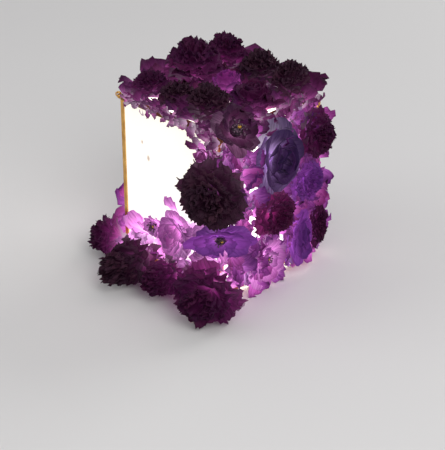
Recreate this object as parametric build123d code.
from build123d import *
import math
import os

os.makedirs("parts", exist_ok=True)

# Box lantern: outer width over the brass strips, and its height from under the bottom rim to the top of the top rim
box_width = 125.0
shade_height = 156.0
strip_thickness = 1.0
post_leg = 4.0
rail_height = 4.5
shelf_width = 7.0
panel_thickness = 2.0
fit_clearance = 0.3

# Foot: felt under a small wooden board, bolted from below to gussets in the bottom rim's corners
felt_thickness = 2.0
board_thickness = 6.0
board_side = 100.0
felt_margin = 3.0
gusset_side = 20.0
rim_screw_inset = 7.0
rim_screw_radius = 1.5
rim_screw_head_radius = 3.0
rim_screw_head_height = 1.8
rim_nut_radius = 3.2
rim_nut_height = 2.4
screw_hole_clearance = 0.15

# Cable inlet: a grommet in the board behind the lamp holder, and a channel from it to the rear
grommet_bore_radius = 3.0
grommet_wall = 1.6
grommet_flange = 1.8
grommet_flange_height = 1.2
grommet_gap = 1.0
channel_width = 7.0
channel_depth = 3.5

# Lamp holder for a 27 mm screw cap
holder_flange_radius = 28.0
holder_flange_height = 5.0
holder_body_radius = 20.0
holder_body_height = 30.0
holder_wall = 2.4
holder_screw_spacing = 46.0
holder_screw_radius = 1.5
holder_screw_head_radius = 2.8
holder_screw_head_height = 1.8
holder_screw_depth = 5.0
block_height = 7.0
sleeve_wall = 0.8
sleeve_height = 17.0
contact_radius = 4.0
contact_height = 1.6

# Bulb: frosted globe, white collar and ribbed screw cap
cap_radius = 13.0
cap_height = 22.0
cap_ribs = 5
cap_rib_depth = 0.9
cap_contact_radius = 4.6
cap_contact_height = 3.0
collar_top_radius = 24.0
collar_height = 26.0
globe_radius = 30.0

# Blooms: fabric heads glued on the box, with the depth that each kind stands out
petal_thickness = 1.1
bloom_gap = 0.5
table_clearance = 0.6
carnation_depth = 30.0
pompon_depth = 22.0
peony_depth = 26.0
anemone_depth = 17.0
mound_depth = 33.0
crown_depth = 42.0
cluster_depth = 62.0
spray_depth = 48.0
near_edge_bloom_width = 60.0
near_edge_bloom_depth = 36.0
near_edge_foot_depth = 54.0
near_edge_turn = 25.0
corner_bloom_radius = 22.0
corner_bloom_setback = 12.0
left_corner_bloom_width = 46.0
left_corner_bloom_height = 38.0
left_corner_bloom_depth = 32.0

# Florets: small flat blossoms between the blooms
floret_radius = 9.0
floret_thickness = 1.6
floret_lift = 2.2

# Loose petals: single petals glued flat on the panels, as far under the heads as their stems
loose_pitch = 27.0
loose_lift = 9.0
loose_gap = 0.6
loose_margin = 2.5
loose_thickness = 1.0

half = box_width / 2
wall_face = half - strip_thickness
rim_low = felt_thickness + board_thickness
rim_high = rim_low + shade_height
shelf_high = rim_low + strip_thickness
roof_high = rim_high - strip_thickness
panel_high = roof_high - panel_thickness
board_high = rim_low


def slab(width_x, width_y, low, high):
    """A square-cornered plate centred on the lamp's axis."""
    return Pos(0, 0, (low + high) / 2) * Box(width_x, width_y, high - low)


def disc(radius, low, high, x=0.0, y=0.0):
    """A round plate or pin standing on the height low."""
    return Pos(x, y, (low + high) / 2) * Cylinder(radius, high - low)


def turned(*points):
    """A turned solid from (radius, height) points."""
    return revolve(Plane.XZ * make_face(Polyline(*points, close=True)), Axis.Z)


def corners(reach):
    """The four corner places at that distance from the axis along X and Y."""
    return [(x * reach, y * reach) for x in (-1, 1) for y in (-1, 1)]


# The foot
grommet_hole = grommet_bore_radius + grommet_wall
grommet_rim = grommet_hole + grommet_flange
grommet_setback = holder_flange_radius + grommet_gap + grommet_rim
channel_roof = felt_thickness + channel_depth
rim_screw_reach = board_side / 2 - rim_screw_inset
rim_screw_hole = rim_screw_radius + screw_hole_clearance
head_recess_radius = rim_screw_head_radius + screw_hole_clearance
head_recess_high = felt_thickness + rim_screw_head_height


def cable_channel():
    """The space that the cable takes from the grommet to the rear of the foot."""
    length = board_side / 2 - grommet_setback + 1
    run = Pos(0, grommet_setback + length / 2, channel_roof / 2) * Box(channel_width, length, channel_roof)
    return run + disc(channel_width / 2, 0, channel_roof, 0, grommet_setback)


def felt_pad():
    side = board_side - 2 * felt_margin
    pad = slab(side, side, 0, felt_thickness) - cable_channel()
    for x, y in corners(rim_screw_reach):
        pad -= disc(head_recess_radius, -1, felt_thickness + 1, x, y)
    return pad


def base_board():
    board = slab(board_side, board_side, felt_thickness, board_high) - cable_channel()
    board -= disc(grommet_hole, 0, board_high + 1, 0, grommet_setback)
    for x, y in corners(rim_screw_reach):
        board -= disc(rim_screw_hole, 0, board_high + 1, x, y)
        board -= disc(head_recess_radius, 0, head_recess_high, x, y)
    for x in (-1, 1):
        board -= disc(holder_screw_radius, board_high - holder_screw_depth, board_high + 1,
                      x * holder_screw_spacing / 2, 0)
    return board


def cable_grommet():
    top = board_high + grommet_flange_height
    return Pos(0, grommet_setback, 0) * turned(
        (grommet_bore_radius, channel_roof), (grommet_hole, channel_roof), (grommet_hole, board_high),
        (grommet_rim, board_high), (grommet_rim, top), (grommet_bore_radius, top))


# The brass frame
def square_ring(outer, inner, low, high):
    return slab(2 * outer, 2 * outer, low, high) - slab(2 * inner, 2 * inner, low - 1, high + 1)


def bottom_rim():
    rim = square_ring(half, wall_face, rim_low, rim_low + rail_height)
    rim += square_ring(half, half - shelf_width, rim_low, shelf_high)
    gusset_reach = half - shelf_width - gusset_side / 2
    for x, y in corners(gusset_reach):
        rim += Pos(x, y, (rim_low + shelf_high) / 2) * Box(gusset_side, gusset_side, strip_thickness)
    for x, y in corners(rim_screw_reach):
        rim -= disc(rim_screw_hole, 0, shelf_high + 1, x, y)
    return rim


def top_rim():
    rim = square_ring(half, wall_face, rim_high - rail_height, rim_high)
    return rim + square_ring(half, half - shelf_width, roof_high, rim_high)


def corner_post(x, y):
    low, high = rim_low + rail_height, rim_high - rail_height
    block = Pos(x * (half - post_leg / 2), y * (half - post_leg / 2), (low + high) / 2)
    angle = block * Box(post_leg, post_leg, high - low)
    return angle - slab(2 * wall_face, 2 * wall_face, low - 1, high + 1)


def rim_screws():
    """Screws up through the board and gussets, with their heads recessed in the underside of the board."""
    screws = []
    for x, y in corners(rim_screw_reach):
        head = disc(rim_screw_head_radius, felt_thickness, head_recess_high, x, y)
        shank = disc(rim_screw_radius, head_recess_high, shelf_high + rim_nut_height, x, y)
        screws.append(head + shank)
    return Compound(children=screws)


def rim_nuts():
    nuts = []
    for x, y in corners(rim_screw_reach):
        hexagon = extrude(RegularPolygon(rim_nut_radius, 6), rim_nut_height)
        nuts.append(Pos(x, y, shelf_high) * hexagon - disc(rim_screw_radius, 0, rim_high, x, y))
    return Compound(children=nuts)


# The frosted panels
def wall_panel(side_x, side_y):
    """One wall; the front and back span the width, and the sides stand between them."""
    middle = wall_face - panel_thickness / 2
    length = 2 * (wall_face - fit_clearance) if side_y else 2 * (wall_face - panel_thickness - fit_clearance)
    size_x, size_y = (length, panel_thickness) if side_y else (panel_thickness, length)
    height = panel_high - shelf_high
    return Pos(side_x * middle, side_y * middle, shelf_high + height / 2) * Box(size_x, size_y, height)


def top_panel():
    side = 2 * (wall_face - fit_clearance)
    return slab(side, side, panel_high, roof_high)


# The lamp holder
holder_top = board_high + holder_flange_height + holder_body_height
holder_bore = holder_body_radius - holder_wall
block_top = board_high + holder_flange_height + block_height
sleeve_inner = cap_radius + fit_clearance
sleeve_outer = sleeve_inner + sleeve_wall


def holder_body():
    flange_top = board_high + holder_flange_height
    body = disc(holder_flange_radius, board_high, flange_top) + disc(holder_body_radius, flange_top, holder_top)
    body -= disc(holder_bore, flange_top, holder_top + 1)
    for x in (-1, 1):
        body -= disc(holder_screw_radius + screw_hole_clearance, 0, holder_top,
                     x * holder_screw_spacing / 2, 0)
    return body


def contact_block():
    return disc(holder_bore - fit_clearance, board_high + holder_flange_height, block_top)


def screw_sleeve():
    return disc(sleeve_outer, block_top, block_top + sleeve_height) - disc(
        sleeve_inner, block_top - 1, block_top + sleeve_height + 1)


def centre_contact():
    return disc(contact_radius, block_top, block_top + contact_height)


def holder_screws():
    screws = []
    flange_top = board_high + holder_flange_height
    for x in (-1, 1):
        place = x * holder_screw_spacing / 2
        shank = disc(holder_screw_radius, board_high - holder_screw_depth, flange_top, place, 0)
        head = disc(holder_screw_head_radius, flange_top, flange_top + holder_screw_head_height, place, 0)
        screws.append(shank + head)
    return Compound(children=screws)


# The bulb
cap_contact_low = block_top + contact_height
cap_low = cap_contact_low + cap_contact_height
cap_top = cap_low + cap_height
collar_top = cap_top + collar_height
globe_centre = collar_top + math.sqrt(globe_radius**2 - collar_top_radius**2)


def bulb_cap():
    """Ribbed screw shell, tapering to the contact that meets the holder's."""
    points = [(0, cap_contact_low), (cap_contact_radius, cap_contact_low), (cap_radius - cap_rib_depth, cap_low)]
    pitch = cap_height / (cap_ribs + 1)
    for rib in range(cap_ribs):
        base = cap_low + rib * pitch
        points += [(cap_radius - cap_rib_depth, base + pitch * 0.1), (cap_radius, base + pitch * 0.5)]
    points += [(cap_radius - cap_rib_depth, cap_top - pitch), (cap_radius - cap_rib_depth, cap_top), (0, cap_top)]
    return turned(*points)


def bulb_collar():
    root = cap_radius
    return turned((0, cap_top), (root, cap_top), (root + 1.5, cap_top + collar_height * 0.2),
                  (collar_top_radius, collar_top), (0, collar_top))


def bulb_globe():
    globe = Pos(0, 0, globe_centre) * Sphere(globe_radius)
    return globe & disc(globe_radius + 1, collar_top, globe_centre + globe_radius + 1)


# The blooms
# A head's whorls are (tip radius, tip height, valley radius, valley height), in shares of its half width and
# depth. The valley is the fold between a whorl and the next one inwards.
columns = 24
crowding = 2.5
stem_share = 0.16
styles = {
    "frilled": {
        "whorls": [(1.0, 0.30, 0.76, 0.32), (0.93, 0.58, 0.64, 0.54), (0.74, 0.83, 0.42, 0.74), (0.42, 1.0, 0.12, 0.88)],
        "petals": 8, "notch": 0.86, "ruffle": 0.055, "calyx": 0.34,
    },
    "cupped": {
        "whorls": [(1.0, 0.32, 0.70, 0.30), (0.88, 0.72, 0.56, 0.58), (0.56, 1.0, 0.18, 0.80)],
        "petals": 6, "notch": 0.88, "ruffle": 0.045, "calyx": 0.36,
    },
    "open": {
        "whorls": [(1.0, 0.52, 0.50, 0.40), (0.76, 0.92, 0.30, 0.60), (0.18, 1.0, 0.05, 0.94)],
        "petals": 6, "notch": 0.66, "ruffle": 0.05, "calyx": 0.32,
    },
}
kinds = {
    "carnation": ("frilled", carnation_depth),
    "pompon": ("frilled", pompon_depth),
    "mound": ("frilled", mound_depth),
    "crown": ("frilled", crown_depth),
    "cluster": ("frilled", cluster_depth),
    "spray": ("frilled", spray_depth),
    "peony": ("cupped", peony_depth),
    "anemone": ("open", anemone_depth),
}


def faceted(rings, low_pole, high_pole):
    """A closed solid of flat facets through rings of points, from one pole to the other."""
    count = len(rings[0])
    faces = []

    def facet(*points):
        faces.append(Face(Wire.make_polygon(points, close=True)))

    for i in range(count):
        j = (i + 1) % count
        facet(low_pole, rings[0][j], rings[0][i])
        facet(rings[-1][i], rings[-1][j], high_pole)
        for lower, upper in zip(rings, rings[1:]):
            if ((upper[i] - lower[i]) - (upper[j] - lower[j])).length < 1e-6:
                facet(lower[i], lower[j], upper[j], upper[i])
            else:
                facet(lower[i], lower[j], upper[j])
                facet(lower[i], upper[j], upper[i])
    return Solid(Shell(faces))


def crowded(angle, half_width, half_height):
    """A point of a head's outline: an oval whose petals are pressed into the corners of its place."""
    across, up = math.cos(angle), math.sin(angle)
    reach = (abs(across) ** crowding + abs(up) ** crowding) ** (-1 / crowding)
    return reach * across * half_width, reach * up * half_height


def bloom(style_name, plane, half_width, half_height, depth, turn):
    """One head standing on a plane, from its flat glued calyx up through its whorls of petals."""
    style = styles[style_name]
    per_petal = columns // style["petals"]

    def ring(radius, height, phase=None):
        points = []
        for i in range(columns):
            across, up = crowded(2 * math.pi * i / columns + turn, half_width, half_height)
            share, lift = radius, height * depth
            if phase is not None:
                step = (i + phase) % per_petal
                share *= style["notch"] if step == 0 else 1.0
                lift += (step - per_petal / 2) * style["ruffle"] * depth
            points.append(plane.from_local_coords(Vector(share * across, share * up, lift)))
        return points

    rings = [ring(style["calyx"] * 0.8, 0), ring(style["calyx"], stem_share)]
    for number, (tip, tip_height, valley, valley_height) in enumerate(style["whorls"]):
        phase = (number % 2) * (per_petal // 2)
        rings.append(ring(tip, tip_height - petal_thickness / depth, phase))
        rings.append(ring(tip, tip_height, phase))
        rings.append(ring(valley, valley_height))
    pit = style["whorls"][-1][3] * depth
    return faceted(rings, plane.from_local_coords(Vector(0, 0, 0)), plane.from_local_coords(Vector(0, 0, pit)))


# Where the blooms sit
# A wall's plane has its origin at the foot of one of its vertical edges, X along the wall and Y up. The heads on
# the box's edges stand in a band at each end of a wall, and the wall's own cells share out what is between.
near_band = near_edge_bloom_width / 2 * math.sqrt(0.5)
turned_band = near_edge_bloom_width / 2 * math.cos(math.radians(45 - near_edge_turn))
left_band = left_corner_bloom_width / 2 * math.sqrt(0.5)
walls = {
    "right": Plane((wall_face, -half, 0), x_dir=(0, 1, 0), z_dir=(1, 0, 0)),
    "front": Plane((-half, -wall_face, 0), x_dir=(1, 0, 0), z_dir=(0, -1, 0)),
    "back": Plane((half, wall_face, 0), x_dir=(-1, 0, 0), z_dir=(0, 1, 0)),
    "left": Plane((-wall_face, half, 0), x_dir=(0, -1, 0), z_dir=(-1, 0, 0)),
    "top": Plane((-half, -half, roof_high), x_dir=(1, 0, 0), z_dir=(0, 0, 1)),
}
spans = {
    "right": (near_band, box_width, table_clearance, rim_high),
    "front": (left_band, box_width - turned_band, table_clearance, rim_high),
    "back": (0.0, box_width, table_clearance, rim_high),
    "left": (0.0, box_width - left_band, table_clearance, rim_high),
    "top": (0.0, box_width, 0.0, box_width),
}

# A head fills a cell of its wall's span: (name, kind, left, right, low, high)
wall_blooms = {
    "right": [
        ("right_bloom_upper", "peony", 0.10, 0.62, 0.59, 0.985),
        ("right_bloom_far_upper", "carnation", 0.625, 0.98, 0.705, 0.985),
        ("right_bloom_middle", "carnation", 0.09, 0.53, 0.345, 0.585),
        ("right_bloom_far_middle", "peony", 0.54, 0.885, 0.45, 0.70),
        ("right_bloom_near_foot", "anemone", 0.04, 0.50, 0.02, 0.34),
        ("right_bloom_foot", "peony", 0.505, 0.765, 0.05, 0.445),
        ("right_bloom_far_foot", "pompon", 0.77, 0.99, 0.10, 0.42),
    ],
    "front": [
        ("front_bloom_foot", "cluster", 0.01, 0.56, 0.0, 0.25),
        ("front_bloom_near_foot", "spray", 0.565, 1.0, 0.01, 0.225),
        ("front_bloom_low", "anemone", 0.24, 0.56, 0.255, 0.39),
        ("front_bloom_window", "peony", 0.565, 1.0, 0.23, 0.50),
    ],
    "left": [
        ("left_bloom_foot", "carnation", 0.06, 0.56, 0.01, 0.28),
        ("left_bloom_near_foot", "anemone", 0.565, 1.0, 0.01, 0.24),
        ("left_bloom_upper", "carnation", 0.04, 0.50, 0.30, 0.62),
    ],
    "back": [
        ("back_bloom_upper_left", "carnation", 0.52, 0.97, 0.66, 0.98),
        ("back_bloom_upper_right", "peony", 0.11, 0.515, 0.62, 0.98),
        ("back_bloom_middle_left", "peony", 0.50, 0.96, 0.34, 0.655),
        ("back_bloom_middle_right", "carnation", 0.10, 0.495, 0.32, 0.615),
        ("back_bloom_foot_left", "carnation", 0.47, 0.92, 0.01, 0.335),
        ("back_bloom_foot_right", "anemone", 0.09, 0.465, 0.01, 0.315),
    ],
    "top": [
        ("top_bloom_crown", "crown", 0.01, 0.45, 0.31, 0.71),
        ("top_bloom_back_left", "mound", 0.02, 0.42, 0.715, 0.99),
        ("top_bloom_back", "mound", 0.425, 0.74, 0.64, 0.99),
        ("top_bloom_back_right", "mound", 0.745, 0.99, 0.66, 0.99),
        ("top_bloom_right", "peony", 0.665, 0.99, 0.335, 0.655),
        ("top_bloom_middle", "peony", 0.455, 0.66, 0.36, 0.635),
        ("top_bloom_near", "carnation", 0.56, 0.865, 0.02, 0.33),
        ("top_bloom_window_edge", "pompon", 0.285, 0.555, 0.02, 0.305),
        ("top_bloom_left", "pompon", 0.01, 0.28, 0.02, 0.305),
    ],
}


def cell_place(wall, left, right, low, high):
    """The middle of a cell on its wall's plane, and the half width and half height of the head in it."""
    start, end, bottom, top = spans[wall]
    width, height = end - start, top - bottom
    middle_x, middle_y = start + (left + right) / 2 * width, bottom + (low + high) / 2 * height
    return middle_x, middle_y, (right - left) * width / 2 - bloom_gap, (high - low) * height / 2 - bloom_gap


def wall_bloom(wall, turn, kind, *cell):
    middle_x, middle_y, half_width, half_height = cell_place(wall, *cell)
    plane = walls[wall]
    middle = plane.from_local_coords(Vector(middle_x, middle_y, 0))
    seat = Plane(middle, x_dir=plane.x_dir, z_dir=plane.z_dir)
    style, depth = kinds[kind]
    return bloom(style, seat, half_width, half_height, depth, turn)


def edge_bloom(style, x, y, bottom, top, width, depth, turn, facing=0.0):
    """A head on a vertical edge of the box, facing out along the diagonal or some degrees to one side of it."""
    way = math.atan2(y, x) + math.radians(facing)
    seat = Plane((x * half, y * half, (bottom + top) / 2), x_dir=(-math.sin(way), math.cos(way), 0),
                 z_dir=(math.cos(way), math.sin(way), 0))
    return bloom(style, seat, width / 2, (top - bottom) / 2 - bloom_gap, depth, turn)


def corner_bloom():
    """The open head on the right top edge by the near corner, facing out and up."""
    seat = Plane((half, corner_bloom_setback - half, rim_high), x_dir=(0, 1, 0), z_dir=(1, 0, 1))
    return bloom("open", seat, corner_bloom_radius, corner_bloom_radius, anemone_depth, 0.25)


# The near edge carries three heads, one above the other, below the corner head's lowest petals. The two full
# heads are turned towards the front.
near_edge_high = rim_high - corner_bloom_radius * math.sqrt(1 / 2)
near_edge_rise = near_edge_high - table_clearance
near_edge_blooms = [
    ("near_edge_bloom_foot", "frilled", 0.0, 0.36, near_edge_foot_depth, -near_edge_turn),
    ("near_edge_bloom_middle", "open", 0.365, 0.595, anemone_depth, 0.0),
    ("near_edge_bloom_upper", "frilled", 0.60, 1.0, near_edge_bloom_depth, -near_edge_turn),
]

# Florets: small flat blossoms glued in the gaps between the blooms, at shares of each wall's width and height
floret_petals = 4
floret_places = {
    "right": [(0.18, 0.62), (0.13, 0.345), (0.13, 0.80)],
    "front": [(0.86, 0.56), (0.87, 0.88), (0.83, 0.68)],
    "back": [(0.50, 0.66), (0.50, 0.34), (0.15, 0.63), (0.86, 0.66)],
    "left": [(0.54, 0.29), (0.885, 0.29), (0.14, 0.66)],
}


def floret(plane, along, up, turn):
    centre = plane.from_local_coords(Vector(along * box_width, up * rim_high, 0))
    seat = Plane(centre, x_dir=plane.x_dir, z_dir=plane.z_dir)
    count = 4 * floret_petals

    def ring(share, height):
        points = []
        for i in range(count):
            angle = 2 * math.pi * i / count + turn
            reach = floret_radius * share * (0.45, 0.92, 1.0, 0.92)[i % 4]
            points.append(seat.from_local_coords(Vector(reach * math.cos(angle), reach * math.sin(angle), height)))
        return points

    high = floret_lift + floret_thickness
    rings = [ring(0.3, 0), ring(1.0, floret_lift), ring(1.0, high), ring(0.25, floret_thickness)]
    eye = seat.from_local_coords(Vector(0, 0, floret_thickness))
    return faceted(rings, centre, eye)


def florets():
    blossoms = []
    for wall, places in floret_places.items():
        for along, up in places:
            blossoms.append(floret(walls[wall], along, up, 0.5 * len(blossoms)))
    return Compound(children=blossoms)


# Loose petals
# Each wall's patches are (left, right, low, high) on the wall's plane, clear of the brass strips. The front keeps its
# window bare, and so does the left wall beside it.
loose_columns = 8
loose_waves = (1.0, 0.62, 0.9, 0.7)
petals_left = post_leg + loose_gap
petals_right = box_width - post_leg - loose_gap
petals_low = rim_low + rail_height + loose_gap
petals_high = rim_high - rail_height - loose_gap
roof_left = shelf_width + loose_gap
loose_patches = {
    "right": [(petals_left + 6, petals_right, petals_low, petals_high)],
    "front": [(left_band, spans["front"][1], petals_low, 38.0), (62.0, spans["front"][1], 38.0, 84.0)],
    "back": [(petals_left, petals_right, petals_low, petals_high)],
    "left": [(petals_left, box_width - left_band, petals_low, 50.0), (petals_left, 64.0, 50.0, 104.0)],
    "top": [(roof_left, box_width - roof_left, roof_left, box_width - roof_left)],
}


def loose_room(wall, x, y):
    """How high a loose petal may stand at a place on a wall: nothing in a stem or floret, little under a head."""
    room = loose_lift
    for name, kind, *cell in wall_blooms[wall]:
        middle_x, middle_y, half_width, half_height = cell_place(wall, *cell)
        style, depth = kinds[kind]
        away_x, away_y = abs(x - middle_x), abs(y - middle_y)
        share = ((away_x / half_width) ** crowding + (away_y / half_height) ** crowding) ** (1 / crowding)
        reach = math.hypot(away_x, away_y)
        stem = styles[style]["calyx"] * reach / max(share, 0.01)
        beyond = reach - reach / max(share, 0.01)
        if reach < stem + loose_margin:
            return 0.0
        room = min(room, stem_share * depth - loose_gap + max(0.0, beyond) * 0.35)
    for along, up in floret_places.get(wall, []):
        if math.hypot(x - along * box_width, y - up * rim_high) < floret_radius + loose_margin:
            return 0.0
    return room


def loose_petal(wall, patch, x, y, turn):
    """One petal: an outline that runs out to its neighbours, the stems or the patch's edge, with a waved rim."""
    plane = walls[wall]
    left, right, low, high = patch
    longest = (loose_pitch - loose_gap) / 2
    reaches = []
    for i in range(loose_columns):
        angle = 2 * math.pi * i / loose_columns + turn
        reach = 2.0
        while reach < longest:
            far_x, far_y = x + (reach + 1) * math.cos(angle), y + (reach + 1) * math.sin(angle)
            if not (left <= far_x <= right and low <= far_y <= high) or loose_room(wall, far_x, far_y) <= 0:
                break
            reach += 1
        reaches.append((min(reach, longest), angle))

    def ring(share, lift, waved):
        points = []
        for i, (reach, angle) in enumerate(reaches):
            point_x, point_y = x + share * reach * math.cos(angle), y + share * reach * math.sin(angle)
            room = max(loose_thickness, loose_room(wall, point_x, point_y))
            height = lift * room * (loose_waves[i % 4] if waved else 1.0)
            points.append(plane.from_local_coords(Vector(point_x, point_y, height)))
        return points

    middle = loose_room(wall, x, y)
    rings = [ring(0.92, 0.0, False), ring(1.0, 0.8, True), ring(0.5, 0.75, True)]
    return faceted(rings, plane.from_local_coords(Vector(x, y, 0)),
                   plane.from_local_coords(Vector(x, y, 0.95 * middle)))


def loose_petals():
    """Petals in staggered rows over every patch, wherever there is room to glue one."""
    petals = []
    row_rise = loose_pitch * math.sqrt(3) / 2
    for wall, patches in loose_patches.items():
        for patch in patches:
            left, right, low, high = patch
            for row in range(round((high - low) / row_rise)):
                y = low + (row + 0.5) * row_rise
                for place in range(math.ceil((right - left) / loose_pitch)):
                    x = left + (place + 0.3 + 0.5 * (row % 2)) * loose_pitch
                    if x < right - loose_margin and y < high - loose_margin and loose_room(wall, x, y) > 0:
                        petals.append(loose_petal(wall, patch, x, y, 0.9 * len(petals)))
    return Compound(children=petals)


pieces = {
    "felt_pad": felt_pad(),
    "base_board": base_board(),
    "cable_grommet": cable_grommet(),
    "bottom_rim": bottom_rim(),
    "top_rim": top_rim(),
    "rim_screws": rim_screws(),
    "rim_nuts": rim_nuts(),
    "corner_post_near": corner_post(1, -1),
    "corner_post_left": corner_post(-1, -1),
    "corner_post_right": corner_post(1, 1),
    "corner_post_back": corner_post(-1, 1),
    "front_panel": wall_panel(0, -1),
    "right_panel": wall_panel(1, 0),
    "back_panel": wall_panel(0, 1),
    "left_panel": wall_panel(-1, 0),
    "top_panel": top_panel(),
    "holder_body": holder_body(),
    "contact_block": contact_block(),
    "screw_sleeve": screw_sleeve(),
    "centre_contact": centre_contact(),
    "holder_screws": holder_screws(),
    "bulb_cap": bulb_cap(),
    "bulb_collar": bulb_collar(),
    "bulb_globe": bulb_globe(),
    "near_corner_bloom": corner_bloom(),
    "left_corner_bloom": edge_bloom(
        "frilled", -1, -1, table_clearance, table_clearance + left_corner_bloom_height,
        left_corner_bloom_width, left_corner_bloom_depth, 0.4),
    "small_florets": florets(),
    "loose_petals": loose_petals(),
}
for name, style, low, high, depth, facing in near_edge_blooms:
    bottom = table_clearance + low * near_edge_rise
    top = table_clearance + high * near_edge_rise
    pieces[name] = edge_bloom(style, 1, -1, bottom, top, near_edge_bloom_width, depth, 0.1, facing)
for wall, blooms in wall_blooms.items():
    for index, (name, *cell) in enumerate(blooms):
        pieces[name] = wall_bloom(wall, 0.37 * index, *cell)

for name, piece in pieces.items():
    export_step(piece, "parts/" + name + ".step")
